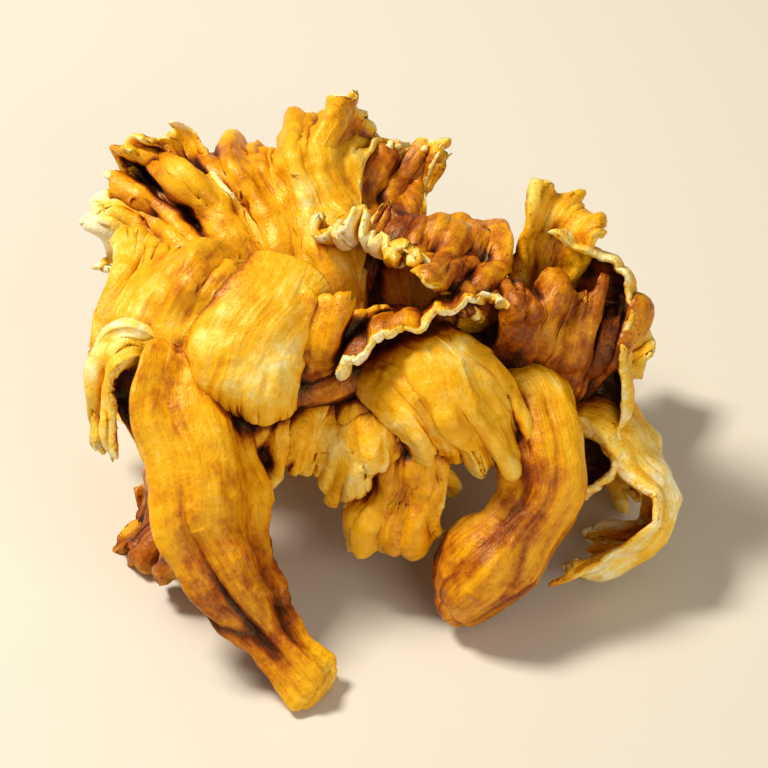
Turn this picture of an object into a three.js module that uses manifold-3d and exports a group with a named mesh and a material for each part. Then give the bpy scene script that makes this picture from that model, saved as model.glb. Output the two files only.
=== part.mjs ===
// One dried piece of maitake, as it was torn from the cluster and dried: a ribbed stem that forks
// into a branching core, and thin wavy fronds that grow out of that core and have shrunk, curled
// and folded over one another. It grew as one piece, so it is one solid.
//
// Units are millimetres. X runs to the right and Y away from the eye, as the piece lies in front of
// somebody looking at it, and Z is up from the surface it lies on. The origin is below the middle of
// the piece, on that surface.

import * as THREE from "three";
import { mergeVertices } from "three/addons/utils/BufferGeometryUtils.js";
import Module from "manifold-3d";

// Thickness of the dried flesh, from where a frond leaves the core to its margin.
const ROOT_THICKNESS = 1.5;
const MARGIN_THICKNESS = 0.72;

// Drying pulls the whole piece out of line in slow waves: each has a height and a length.
const WARPS = [
  { height: 0.75, length: 15 },
  { height: 0.3, length: 6.3 },
];

// The height at which the lowest points are worn flat where the piece has lain.
const REST_HEIGHT = 0.25;

// Fronds. path is the line up the middle of the frond, from its root to its margin. facing is the
// way its upper skin looks at the root and at the margin. root is half the width where it leaves
// what it grows from, and spread is the angle by which each side fans out from there. flare makes
// the sides reach further than the middle, and skew one side further than the other. cup turns the
// sides up towards the upper skin, and a negative one drops them. ruffle is the height of the waves
// that run out to the margin and waves how many there are, fold and folds the same for the wrinkles
// that run across. lobes and notch are the number and depth of the lobes of the margin. lip is
// the angle by which the margin rolls over, up or down, and lipAt the share of the length at which
// that starts. seed sets where its waves and lobes fall.
const FRONDS = {
  hood: {
    path: [[-11.6, 10.4, 8.8], [-13.6, 9.8, 13.0], [-13.2, 13.2, 18.0], [-9.6, 18.6, 18.8]],
    facing: [[-0.2, -0.9, 0.4], [0.0, -0.45, 0.9]],
    root: 2.4, spread: 18, flare: 0.05, skew: 0.08, cup: -70, ruffle: 0.5, waves: 1.6,
    fold: 0.12, folds: 2, lobes: 3, notch: 0.1, lip: -50, lipAt: 0.7, seed: 3, cells: [9, 10],
  },
  hood_ear: {
    path: [[-6.4, 16.6, 17.2], [-7.0, 12.2, 18.6], [-9.4, 9.2, 15.8], [-9.8, 8.2, 10.8]],
    facing: [[0.2, -0.6, 0.9], [-0.1, -0.95, 0.2]],
    root: 2.6, spread: 11, flare: -0.08, skew: 0.05, cup: -90, ruffle: 0.22, waves: 1.4,
    fold: 0.1, folds: 2, lobes: 2, notch: 0.05, lip: -95, lipAt: 0.68, seed: 8, cells: [8, 9],
  },
  side_flap: {
    path: [[-13.4, 12.6, 13.6], [-15.8, 12.4, 15.2], [-17.0, 11.4, 12.6], [-15.8, 9.9, 8.8]],
    facing: [[-0.5, -0.7, 0.5], [-0.75, -0.65, 0.1]],
    root: 1.5, spread: -4, flare: 0.0, skew: 0.0, cup: 20, ruffle: 0.5, waves: 1.2,
    fold: 0.25, folds: 2, lobes: 2, notch: 0.15, lip: 30, lipAt: 0.68, seed: 5, cells: [6, 4],
  },
  brown_cap: {
    path: [[2.6, 19.5, 10.5], [3.6, 25.0, 15.5], [1.6, 21.5, 19.6], [-1.4, 14.0, 17.2]],
    facing: [[0.0, 0.9, 0.2], [0.0, -0.5, 0.86]],
    root: 2.4, spread: 15, flare: 0.0, skew: -0.05, cup: -45, ruffle: 0.55, waves: 2.6,
    fold: 0.5, folds: 3.6, lobes: 4, notch: 0.1, lip: 75, lipAt: 0.88, seed: 11, cells: [12, 11],
  },
  under_cap: {
    path: [[0.6, 16.5, 10.5], [1.4, 18.0, 14.8], [2.0, 15.0, 16.8], [2.2, 11.4, 15.8]],
    facing: [[0.0, 0.7, 0.6], [0.0, -0.5, 0.86]],
    root: 2.4, spread: 22, flare: 0.0, skew: 0.1, cup: -35, ruffle: 0.55, waves: 2.2,
    fold: 0.2, folds: 2.6, lobes: 4, notch: 0.1, lip: 80, lipAt: 0.85, seed: 21, cells: [7, 9],
  },
  olive_fold: {
    path: [[-3.6, 15.6, 9.8], [-4.6, 13.2, 11.6], [-4.8, 12.2, 14.4], [-3.8, 14.2, 17.6]],
    facing: [[0.1, -0.8, 0.5], [0.3, -0.9, 0.2]],
    root: 2.4, spread: 12, flare: 0.0, skew: 0.0, cup: -40, ruffle: 0.4, waves: 1.6,
    fold: 0.2, folds: 2, lobes: 2, notch: 0.1, lip: -30, lipAt: 0.68, seed: 13, cells: [6, 6],
  },
  gold_lobe: {
    path: [[-1.2, 15.8, 12.4], [0.8, 10.8, 15.6], [4.0, 7.4, 12.6], [4.0, 7.6, 7.4]],
    facing: [[0.0, -0.6, 0.8], [0.1, -0.98, 0.1]],
    root: 2.8, spread: 12, flare: 0.05, skew: 0.0, cup: -85, ruffle: 0.7, waves: 2.4,
    fold: 0.25, folds: 2.5, lobes: 3, notch: 0.12, lip: -50, lipAt: 0.68, seed: 31, cells: [9, 11],
  },
  cream_frill: {
    path: [[-2.0, 15.5, 9.0], [-2.8, 12.0, 12.4], [-3.8, 9.0, 11.0], [-4.2, 7.6, 7.0]],
    facing: [[0.0, 0.5, -0.85], [-0.1, 0.85, -0.4]],
    root: 1.8, spread: 32, flare: 0.1, skew: 0.1, cup: 40, ruffle: 0.75, waves: 2.0,
    fold: 0.15, folds: 2, lobes: 4, notch: 0.12, lip: 60, lipAt: 0.75, seed: 17, cells: [7, 11],
  },
  hanging_lobes: {
    path: [[0.0, 12.5, 9.0], [0.2, 8.8, 9.6], [-1.0, 7.0, 6.6], [-1.4, 6.8, 3.2]],
    facing: [[0.0, -0.5, 0.9], [-0.2, -0.95, 0.0]],
    root: 1.4, spread: 13, flare: 0.0, skew: 0.1, cup: -70, ruffle: 0.4, waves: 1.4,
    fold: 0.2, folds: 2.4, lobes: 3, notch: 0.2, lip: -40, lipAt: 0.68, seed: 19, cells: [7, 7],
  },
  top_right_lobe: {
    path: [[6.6, 17.0, 10.5], [7.2, 19.0, 14.5], [8.2, 20.6, 17.2], [10.4, 20.6, 18.4]],
    facing: [[0.2, -0.9, 0.2], [-0.2, -0.5, 0.9]],
    root: 1.6, spread: 9, flare: 0.0, skew: 0.1, cup: 75, ruffle: 0.35, waves: 1.4,
    fold: 0.2, folds: 2, lobes: 2, notch: 0.12, lip: -80, lipAt: 0.68, seed: 23, cells: [7, 7],
  },
  dark_frond: {
    path: [[6.0, 16.5, 9.0], [8.8, 12.0, 12.0], [10.4, 12.6, 15.4], [9.6, 16.6, 17.4]],
    facing: [[0.3, -0.95, 0.2], [0.4, -0.6, 0.7]],
    root: 2.2, spread: 14, flare: 0.0, skew: -0.1, cup: -50, ruffle: 0.6, waves: 2.4,
    fold: 0.3, folds: 2.6, lobes: 4, notch: 0.12, lip: -50, lipAt: 0.68, seed: 29, cells: [7, 9],
  },
  rim_frond: {
    path: [[7.4, 17.4, 8.6], [10.0, 17.0, 9.2], [12.4, 15.8, 10.0], [14.0, 12.8, 11.2]],
    facing: [[0.0, -0.755, 0.656], [-0.6, -0.6, 0.5]],
    root: 1.6, spread: 70, flare: 0.1, skew: 0.05, cup: 56, ruffle: 0.45, waves: 2.0,
    fold: 0.12, folds: 2, lobes: 4, notch: 0.05, lip: 60, lipAt: 0.68, seed: 37, cells: [6, 16],
  },
  rim_curl: {
    path: [[8.6, 15.6, 8.4], [13.4, 14.0, 11.0], [17.6, 9.6, 4.4], [9.6, 8.6, 0.8]],
    facing: [[0.1, 0.3, 0.95], [0.4, -0.35, -0.85]],
    root: 1.8, spread: 5, flare: 0.0, skew: 0.05, cup: -35, ruffle: 0.45, waves: 1.6,
    fold: 0.2, folds: 2.5, lobes: 3, notch: 0.08, lip: -40, lipAt: 0.8, seed: 73, cells: [11, 7],
  },
  crown: {
    path: [[-4.2, 16.8, 10.0], [-5.8, 20.0, 15.4], [-7.4, 25.2, 18.2], [-8.6, 30.4, 17.2]],
    facing: [[0.0, -0.95, 0.3], [-0.1, -0.45, 0.9]],
    root: 2.2, spread: 19, flare: 0.04, skew: 0.0, cup: -30, ruffle: 1.0, waves: 2.6,
    fold: 0.45, folds: 3, lobes: 5, notch: 0.12, lip: -70, lipAt: 0.75, seed: 43, cells: [8, 10],
  },
  crown_left: {
    path: [[-7.0, 15.6, 10.0], [-10.0, 18.4, 15.0], [-13.0, 22.6, 17.0], [-16.2, 25.8, 15.8]],
    facing: [[0.3, -0.8, 0.5], [-0.3, -0.5, 0.8]],
    root: 1.8, spread: 13, flare: -0.05, skew: 0.0, cup: -40, ruffle: 0.9, waves: 2.2,
    fold: 0.45, folds: 3, lobes: 4, notch: 0.14, lip: 60, lipAt: 0.8, seed: 41, cells: [7, 7],
  },
  crown_loop: {
    path: [[-1.0, 18.0, 10.5], [-2.0, 22.0, 14.6], [-1.8, 26.6, 16.6], [-0.6, 29.6, 15.2]],
    facing: [[0.1, -0.9, 0.4], [0.3, -0.2, 0.9]],
    root: 1.8, spread: 13, flare: -0.06, skew: 0.0, cup: 55, ruffle: 0.7, waves: 1.8,
    fold: 0.4, folds: 2.4, lobes: 3, notch: 0.1, lip: 70, lipAt: 0.82, seed: 47, cells: [6, 7],
  },
  low_frill: {
    path: [[-9.6, 11.0, 8.6], [-12.6, 12.6, 8.6], [-14.6, 11.8, 4.2], [-13.2, 10.8, -1.0]],
    facing: [[-0.5, -0.1, 0.85], [-0.95, -0.2, 0.2]],
    root: 1.6, spread: 20, flare: 0.0, skew: 0.0, cup: -50, ruffle: 0.8, waves: 2.0,
    fold: 0.25, folds: 2.4, lobes: 4, notch: 0.14, lip: 70, lipAt: 0.72, seed: 53, cells: [7, 9],
  },
  back_left: {
    path: [[-6.0, 15.5, 9.0], [-7.4, 20.5, 12.4], [-10.4, 24.4, 7.6], [-10.4, 23.0, -1.4]],
    facing: [[-0.2, -0.3, 0.9], [-0.45, 0.9, 0.1]],
    root: 2.6, spread: 22, flare: 0.05, skew: 0.08, cup: -45, ruffle: 1.1, waves: 2.2,
    fold: 0.35, folds: 3, lobes: 4, notch: 0.12, lip: 95, lipAt: 0.7, seed: 59, cells: [8, 10],
  },
  back_middle: {
    path: [[0.0, 17.5, 9.0], [0.0, 22.6, 13.0], [-0.6, 27.6, 9.0], [-0.6, 25.6, 0.8]],
    facing: [[0.0, 0.3, 0.95], [0.0, 0.98, 0.1]],
    root: 2.4, spread: 20, flare: 0.0, skew: -0.05, cup: -45, ruffle: 1.1, waves: 2.2,
    fold: 0.35, folds: 3, lobes: 4, notch: 0.12, lip: 80, lipAt: 0.72, seed: 61, cells: [8, 10],
  },
  back_right: {
    path: [[6.0, 17.5, 9.0], [7.4, 21.6, 12.6], [9.6, 25.2, 10.0], [8.6, 25.0, 2.0]],
    facing: [[0.1, 0.2, 0.95], [0.6, 0.8, 0.2]],
    root: 2.2, spread: 20, flare: 0.0, skew: 0.0, cup: -45, ruffle: 1.0, waves: 2.2,
    fold: 0.35, folds: 3, lobes: 4, notch: 0.08, lip: 90, lipAt: 0.72, seed: 67, cells: [8, 10],
  },
  back_foot: {
    path: [[5.5, 16.0, 7.6], [9.4, 18.4, 9.0], [12.6, 19.0, 5.0], [11.2, 18.4, -0.8]],
    facing: [[0.2, 0.3, 0.9], [0.85, 0.5, 0.1]],
    root: 1.8, spread: 18, flare: 0.0, skew: 0.0, cup: -60, ruffle: 0.7, waves: 1.8,
    fold: 0.3, folds: 3, lobes: 3, notch: 0.12, lip: 60, lipAt: 0.72, seed: 71, cells: [7, 8],
  },
};

// Stem, core and the thick rolled lobe at the right. path is the centre line, radii the half-widths
// along it, flat how much narrower it is across facing, and ribs and rib the number and height of the
// ridges that run along it, which turn by twist from end to end. rounding is the share of its length
// over which each end is rounded off, and blunt is how wide it still is at its very end.
const STALKS = {
  stem: {
    path: [[-4.3, 0.7, 0.9], [-8.0, 3.2, 3.6], [-12.0, 5.8, 8.0], [-12.0, 12.4, 14.2]],
    facing: [0.2, -0.6, 0.8],
    radii: [1.8, 1.6, 2.0, 2.5, 2.9, 3.3, 2.2], flat: 0.8, ribs: 5, rib: 0.13, twist: 110,
    rounding: 0.06, blunt: 0.75, cells: [12, 15],
  },
  core: {
    path: [[-11.5, 10.5, 9.2], [-6.5, 15.6, 9.8], [2.0, 17.4, 10.6], [9.0, 16.6, 9.0]],
    facing: [0, -0.5, 0.9],
    radii: [1.6, 3.2, 3.4, 3.6, 3.2, 1.6], flat: 0.9, ribs: 5, rib: 0.14, twist: 80,
    rounding: 0.12, blunt: 0.3, cells: [8, 10],
  },
  rolled_lobe: {
    path: [[5.6, 15.0, 10.0], [9.0, 11.0, 12.2], [7.6, 7.6, 5.8], [2.8, 5.4, 1.8]],
    facing: [0.1, -0.8, 0.6],
    radii: [2.0, 2.6, 2.5, 2.2, 2.2, 2.7, 2.6], flat: 0.9, ribs: 3, rib: 0.13, twist: 200,
    rounding: 0.16, blunt: 0.45, cells: [12, 15],
  },
};

const NOTCH_SHARPNESS = 0.6;

const degrees = (angle) => (angle * Math.PI) / 180;
const clamp01 = (value) => Math.min(1, Math.max(0, value));
const ease = (value) => clamp01(value) ** 2 * (3 - 2 * clamp01(value));
const sinc = (angle) => (Math.abs(angle) < 1e-6 ? 1 : Math.sin(angle) / angle);
const vector = (point) => new THREE.Vector3(...point);

// A number from 0 to 2 pi that looks random but is the same every time.
function phase(seed, which) {
  const scrambled = Math.sin(seed * 12.9898 + which * 78.233) * 437.585;
  return (scrambled - Math.floor(scrambled)) * 2 * Math.PI;
}

// Where a strip ends up after distance, when it turns evenly by angle on the way: how far forward
// and how far up.
const arc = (distance, angle) => [
  distance * sinc(angle),
  distance * Math.sin(angle / 2) * sinc(angle / 2),
];

// A point of a frond's middle surface, at u from root to margin and v from side to side. The flat
// fan is cut into lobes, rolled over at its lip and across its width, waved, and carried along the
// middle line.
function frondPoint(frond, curve, length, u, v) {
  const { seed } = frond;
  const scallop = (count, which) =>
    1 - Math.abs(Math.cos(v * count * Math.PI * 0.5 + phase(seed, which))) ** NOTCH_SHARPNESS;
  const lobing = 0.65 * scallop(frond.lobes, 1) + 0.5 * scallop(frond.lobes * 1.7, 2);
  const cut = frond.notch * u * lobing;
  const size = length * (1 + frond.flare * v * v + frond.skew * v - cut);

  const past = Math.max(0, u - frond.lipAt);
  const [forward, lift] = arc(past, (degrees(frond.lip) * past) / (1 - frond.lipAt));
  const reach = size * (Math.min(u, frond.lipAt) + forward);

  const angle = v * degrees(frond.spread);
  const along = (reach * Math.cos(angle)) / length;
  const across = frond.root * v + reach * Math.sin(angle);
  const widest = frond.root + length * Math.max(0, Math.sin(degrees(frond.spread)));
  const [sideways, rise] = arc(across, (degrees(frond.cup) * across) / widest);

  const wave = (count, which, drift) =>
    Math.sin(v * count * frond.waves * Math.PI + phase(seed, which) + drift * u);
  const finer = 0.4 * wave(1.73, 4, -1.4) + 0.3 * wave(2.9, 5, 2.0);
  const ruffle = frond.ruffle * u * (0.7 * wave(1, 3, 0.9) + finer * u);
  const bend = 2.4 * Math.sin(1.7 * v + phase(seed, 6));
  const fold = frond.fold * u * Math.sin(u * frond.folds * 2 * Math.PI + bend);
  const height = rise + size * lift + ruffle + fold;

  const t = clamp01(along);
  const tangent = curve.getTangent(t);
  const facing = vector(frond.facing[0]).lerp(vector(frond.facing[1]), ease(t));
  const normal = facing.addScaledVector(tangent, -facing.dot(tangent)).normalize();
  const side = tangent.clone().cross(normal);
  return curve
    .getPoint(t)
    .addScaledVector(tangent, (along - t) * length)
    .addScaledVector(side, sideways)
    .addScaledVector(normal, height);
}

// The slow pull of drying on a point anywhere in the piece. It fades out near the surface below.
function warp({ x, y, z }) {
  const moved = new THREE.Vector3(x, y, z);
  WARPS.forEach(({ height, length }, which) => {
    const k = (2 * Math.PI) / length;
    const [a, b, c] = [1, 2, 3].map((axis) => phase(which + 1, axis));
    moved.x += height * Math.sin(k * y + a) * Math.cos(0.6 * k * z + b);
    moved.y += height * Math.sin(k * z + b) * Math.cos(0.7 * k * x + c);
    moved.z += height * Math.sin(0.8 * k * x + c) * Math.cos(0.6 * k * y + a) * ease(z / 6);
  });
  return moved;
}

// A closed sheet from a grid of middle points: both faces are split into triangles alike, and a band
// goes all round its edge.
function closedSheet(rows, columns, middleAt, thicknessAt) {
  const index = (row, column) => row * (columns + 1) + column;
  const middle = [];
  for (let row = 0; row <= rows; row++)
    for (let column = 0; column <= columns; column++)
      middle.push(middleAt(row / rows, (2 * column) / columns - 1));

  const at = (row, column) =>
    middle[index(THREE.MathUtils.clamp(row, 0, rows), THREE.MathUtils.clamp(column, 0, columns))];
  const positions = [];
  const lower = middle.length;
  const faces = [1, -1].map((sign) =>
    middle.map((point, i) => {
      const row = Math.floor(i / (columns + 1));
      const column = i % (columns + 1);
      const out = at(row + 1, column).clone().sub(at(row - 1, column));
      const over = at(row, column + 1).clone().sub(at(row, column - 1));
      const half = (sign * thicknessAt(row / rows, (2 * column) / columns - 1)) / 2;
      return point.clone().addScaledVector(out.cross(over).normalize(), half);
    }),
  );
  faces.flat().forEach((point) => positions.push(...point.toArray()));

  const triangles = [];
  for (let row = 0; row < rows; row++)
    for (let column = 0; column < columns; column++) {
      const [a, b, c, d] = [
        index(row, column), index(row + 1, column), index(row + 1, column + 1), index(row, column + 1),
      ];
      triangles.push(a, b, c, a, c, d);
      triangles.push(lower + a, lower + c, lower + b, lower + a, lower + d, lower + c);
    }
  const edge = [];
  for (let column = 0; column < columns; column++) edge.push(index(0, column));
  for (let row = 0; row < rows; row++) edge.push(index(row, columns));
  for (let column = columns; column > 0; column--) edge.push(index(rows, column));
  for (let row = rows; row > 0; row--) edge.push(index(row, 0));
  edge.forEach((from, i) => {
    const to = edge[(i + 1) % edge.length];
    triangles.push(from, to, lower + to, from, lower + to, lower + from);
  });
  return { positions, triangles };
}

function frondSheet(frond) {
  const curve = new THREE.CubicBezierCurve3(...frond.path.map(vector));
  const length = curve.getLength();
  const [rows, columns] = frond.cells;
  return closedSheet(
    rows,
    columns,
    (u, v) => warp(frondPoint(frond, curve, length, u, v)),
    (u) => THREE.MathUtils.lerp(ROOT_THICKNESS, MARGIN_THICKNESS, ease(u)),
  );
}

// A closed stalk: a ribbed oval carried along the centre line, rounded off at both ends.
function stalkTube(stalk) {
  const curve = new THREE.CubicBezierCurve3(...stalk.path.map(vector));
  const [rows, sides] = stalk.cells;
  const radiusAt = (t) => {
    const place = t * (stalk.radii.length - 1);
    const from = Math.min(Math.floor(place), stalk.radii.length - 2);
    return THREE.MathUtils.lerp(stalk.radii[from], stalk.radii[from + 1], ease(place - from));
  };
  const positions = [];
  for (let row = 0; row < rows; row++) {
    const t = row / (rows - 1);
    const tangent = curve.getTangent(t);
    const facing = vector(stalk.facing);
    const normal = facing.addScaledVector(tangent, -facing.dot(tangent)).normalize();
    const side = tangent.clone().cross(normal);
    const nearEnd = clamp01(Math.min(t, 1 - t) / stalk.rounding);
    const rounding = THREE.MathUtils.lerp(stalk.blunt, 1, Math.sqrt(1 - (1 - nearEnd) ** 2));
    for (let step = 0; step < sides; step++) {
      const angle = (step / sides) * 2 * Math.PI;
      const turn = degrees(stalk.twist) * t + 0.8 * Math.sin(2 * angle);
      const ridge = 1 + stalk.rib * Math.sin(stalk.ribs * angle + turn);
      const radius = radiusAt(t) * rounding * ridge;
      const point = curve
        .getPoint(t)
        .addScaledVector(side, radius * Math.cos(angle))
        .addScaledVector(normal, radius * Math.sin(angle) * stalk.flat);
      positions.push(...warp(point).toArray());
    }
  }
  const triangles = [];
  for (let row = 0; row < rows - 1; row++)
    for (let step = 0; step < sides; step++) {
      const next = (step + 1) % sides;
      const [a, b] = [row * sides + step, row * sides + next];
      triangles.push(a, b, b + sides, a, b + sides, a + sides);
    }
  [0, rows - 1].forEach((row) => {
    const pole = positions.length / 3;
    positions.push(...warp(curve.getPoint(row / (rows - 1))).toArray());
    for (let step = 0; step < sides; step++) {
      const [a, b] = [row * sides + step, row * sides + ((step + 1) % sides)];
      triangles.push(...(row === 0 ? [pole, b, a] : [pole, a, b]));
    }
  });
  return { positions, triangles };
}

const wasm = await Module();
wasm.setup();

function solidOf({ positions, triangles }) {
  const made = new wasm.Manifold(
    new wasm.Mesh({
      numProp: 3,
      vertProperties: new Float32Array(positions),
      triVerts: new Uint32Array(triangles),
    }),
  );
  if (made.volume() > 0) return made;
  const turned = [];
  for (let i = 0; i < triangles.length; i += 3)
    turned.push(triangles[i], triangles[i + 2], triangles[i + 1]);
  return solidOf({ positions, triangles: turned });
}

function boxSolid(low, high) {
  const size = high.clone().sub(low);
  const geometry = new THREE.BoxGeometry(size.x, size.y, size.z);
  geometry.translate(...low.clone().addScaledVector(size, 0.5).toArray());
  geometry.deleteAttribute("normal");
  geometry.deleteAttribute("uv");
  const merged = mergeVertices(geometry);
  return solidOf({
    positions: Array.from(merged.attributes.position.array),
    triangles: Array.from(merged.index.array),
  });
}

// Everything grows together into one body. Scraps and sealed hollows are dropped.
function fused() {
  let body = null;
  const pieces = [...Object.values(STALKS).map(stalkTube), ...Object.values(FRONDS).map(frondSheet)];
  for (const piece of pieces) {
    const solid = solidOf(piece);
    body = body ? body.add(solid) : solid;
  }
  const below = boxSolid(new THREE.Vector3(-60, -60, -60), new THREE.Vector3(60, 60, REST_HEIGHT));
  const parts = body.subtract(below).decompose();
  return parts.reduce((best, part) => (part.volume() > best.volume() ? part : best));
}

const body = fused();
const { min, max } = body.boundingBox();
const mesh = body.getMesh();
const geometry = new THREE.BufferGeometry();
geometry.setAttribute("position", new THREE.BufferAttribute(mesh.vertProperties, mesh.numProp));
geometry.setIndex(new THREE.BufferAttribute(mesh.triVerts, 1));
geometry.translate(-(min[0] + max[0]) / 2, -(min[1] + max[1]) / 2, -REST_HEIGHT);
geometry.computeVertexNormals();

const driedFlesh = new THREE.MeshStandardMaterial({ color: 0xc88a26, roughness: 0.72, metalness: 0 });
const maitake = new THREE.Mesh(geometry, driedFlesh);
maitake.name = "dried_maitake";

const part = new THREE.Group();
part.add(maitake);
export default part;
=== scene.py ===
import math

import bpy
import numpy as np
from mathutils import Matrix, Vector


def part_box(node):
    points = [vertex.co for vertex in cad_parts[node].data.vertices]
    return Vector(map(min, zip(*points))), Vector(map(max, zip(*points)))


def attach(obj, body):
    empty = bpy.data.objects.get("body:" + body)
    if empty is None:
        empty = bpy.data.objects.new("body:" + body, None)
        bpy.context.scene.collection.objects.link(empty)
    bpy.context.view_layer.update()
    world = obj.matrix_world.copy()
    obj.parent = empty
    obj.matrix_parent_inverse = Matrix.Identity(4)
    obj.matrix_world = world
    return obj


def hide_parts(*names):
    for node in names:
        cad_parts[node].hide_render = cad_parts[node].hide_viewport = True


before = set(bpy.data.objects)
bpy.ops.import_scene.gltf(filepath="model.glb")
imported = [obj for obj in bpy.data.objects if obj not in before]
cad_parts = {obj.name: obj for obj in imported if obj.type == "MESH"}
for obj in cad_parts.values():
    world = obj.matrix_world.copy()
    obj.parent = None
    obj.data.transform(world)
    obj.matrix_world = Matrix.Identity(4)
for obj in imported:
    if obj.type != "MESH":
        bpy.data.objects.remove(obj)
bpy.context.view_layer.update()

# Stem, core and rolled lobe. The stem is the thick stalk by which the piece was torn from its
# cluster, and it forks into the core that every frond grows from. Both shrank into lengthwise ribs
# as they dried. The rolled lobe is a narrow frond that curled up into a tube. Sizes are in mm.
stalks = {
    "stem": dict(
        path=((-4.3, 0.7, 0.9), (-8.0, 3.2, 3.6), (-12.0, 5.8, 8.0), (-12.0, 12.4, 14.2)),
        facing=(0.2, -0.6, 0.8), radii=(1.8, 1.6, 2.0, 2.5, 2.9, 3.3, 2.2), flat=0.8, ribs=5,
        rib=0.13, twist=110, rounding=0.06, blunt=0.75,
        tones=(0.28, 0.56, 0.66, 0.52, 0.38, 0.37, 0.42), groove_shade=0.34, grooved=(0.05, 0.62),
        grid=(190, 150),
    ),
    "core": dict(
        path=((-11.5, 10.5, 9.2), (-6.5, 15.6, 9.8), (2.0, 17.4, 10.6), (9.0, 16.6, 9.0)),
        facing=(0, -0.5, 0.9), radii=(1.6, 3.2, 3.4, 3.6, 3.2, 1.6), flat=0.9, ribs=5, rib=0.14,
        twist=80, rounding=0.12, blunt=0.3, tones=(0.6, 0.6), groove_shade=0.1, grooved=(0.0, 1.0),
        grid=(60, 60),
    ),
    "rolled_lobe": dict(
        path=((5.6, 15.0, 10.0), (9.0, 11.0, 12.2), (7.6, 7.6, 5.8), (2.8, 5.4, 1.8)),
        facing=(0.1, -0.8, 0.6), radii=(2.0, 2.6, 2.5, 2.2, 2.2, 2.7, 2.6), flat=0.9, ribs=3,
        rib=0.13, twist=200, rounding=0.16, blunt=0.45,
        tones=(0.32, 0.28, 0.28, 0.34, 0.47, 0.56, 0.58), groove_shade=0.22, grooved=(0.2, 1.1),
        grid=(160, 130),
    ),
}
warps = [dict(height=0.75, length=15.0), dict(height=0.3, length=6.3)]
mm = 0.001
squeezed_within = 0.12
scramble = np.array([127.1, 311.7, 74.7])
rest_height = 0.25
middle_of_piece = (-0.9344, 14.6688, rest_height)


def ease(value):
    """Runs smoothly from 0 to 1 as value does: three times its square less twice its cube."""
    value = np.clip(value, 0, 1)
    return value * value * (3 - 2 * value)


def unit(vectors):
    """The vectors, each divided by its own length."""
    return vectors / np.maximum(np.linalg.norm(vectors, axis=-1, keepdims=True), 1e-12)


def noise(points, size, seed):
    """Smooth noise from -1 to 1. Each corner of the cell round a point has a scrambled number, and
    the eight of them are eased together."""
    place = np.asarray(points) / size
    low = np.floor(place)
    part = ease(place - low)
    total = np.zeros(place.shape[:-1])
    for corner in np.ndindex(2, 2, 2):
        share = np.prod(np.where(np.array(corner) == 1, part, 1 - part), axis=-1)
        mixed = (low + corner) @ scramble + 17.3 * seed
        mixed = np.sin(mixed) * 43758.5453
        total += share * (2 * (mixed - np.floor(mixed)) - 1)
    return total


def creases(points, size, seed):
    """Noise folded at zero, so that it has sharp ridges at 1 and rounded valleys down to -1."""
    return 1 - 2 * np.abs(noise(points, size, seed)) ** 0.8


def phase(seed, which):
    """A number from 0 to two pi: the fraction left over by a large multiple of a sine."""
    scrambled = math.sin(seed * 12.9898 + which * 78.233) * 437.585
    return (scrambled - math.floor(scrambled)) * 2 * math.pi


def bezier(path, t):
    """Points and unit tangents at t on the cubic Bezier curve whose four controls are path."""
    a, b, c, d = (np.array(p, float) for p in path)
    t = np.asarray(t, float)[..., None]
    s = 1 - t
    points = s**3 * a + 3 * s * s * t * b + 3 * s * t * t * c + t**3 * d
    return points, unit(s * s * (b - a) + 2 * s * t * (c - b) + t * t * (d - c))


def path_length(path):
    """The length of the curve on path, as the sum of 200 chords."""
    line = bezier(path, np.linspace(0, 1, 201))[0]
    return np.linalg.norm(np.diff(line, axis=0), axis=-1).sum()


def across_curve(tangent, facing):
    """The two directions square to the curve: facing less its part along it, and sideways."""
    normal = unit(facing - (facing * tangent).sum(-1, keepdims=True) * tangent)
    return normal, np.cross(tangent, normal)


def warp(points):
    """The slow pull of drying: each axis is moved by a sine of one other axis times a cosine of the
    third, at two wavelengths, and the upward part fades out near the surface below."""
    x, y, z = np.moveaxis(points, -1, 0)
    moved = np.array(points, float)
    for which, wave in enumerate(warps):
        k = 2 * math.pi / wave["length"]
        a, b, c = (phase(which + 1, axis) for axis in (1, 2, 3))
        lift = np.sin(0.8 * k * x + c) * np.cos(0.6 * k * y + a) * ease(z / 6)
        moved[..., 0] += wave["height"] * np.sin(k * y + a) * np.cos(0.6 * k * z + b)
        moved[..., 1] += wave["height"] * np.sin(k * z + b) * np.cos(0.7 * k * x + c)
        moved[..., 2] += wave["height"] * lift
    return moved


def at_rest(points):
    """Points in metres from the middle of the piece. What would sink below the surface is squeezed
    flat on it: the height becomes half the sum of itself and the root of its own square plus a
    small square."""
    placed = points - np.array(middle_of_piece)
    z = placed[..., 2]
    placed[..., 2] = 0.5 * (z + np.sqrt(z * z + squeezed_within**2))
    return placed * mm


def listed_along(values, t):
    """Runs through the values at even steps of t from 0 to 1, easing from each one to the next."""
    values = np.array(values)
    place = t * (len(values) - 1)
    first = np.minimum(np.floor(place), len(values) - 2).astype(int)
    return values[first] + (values[first + 1] - values[first]) * ease(place - first)


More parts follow.
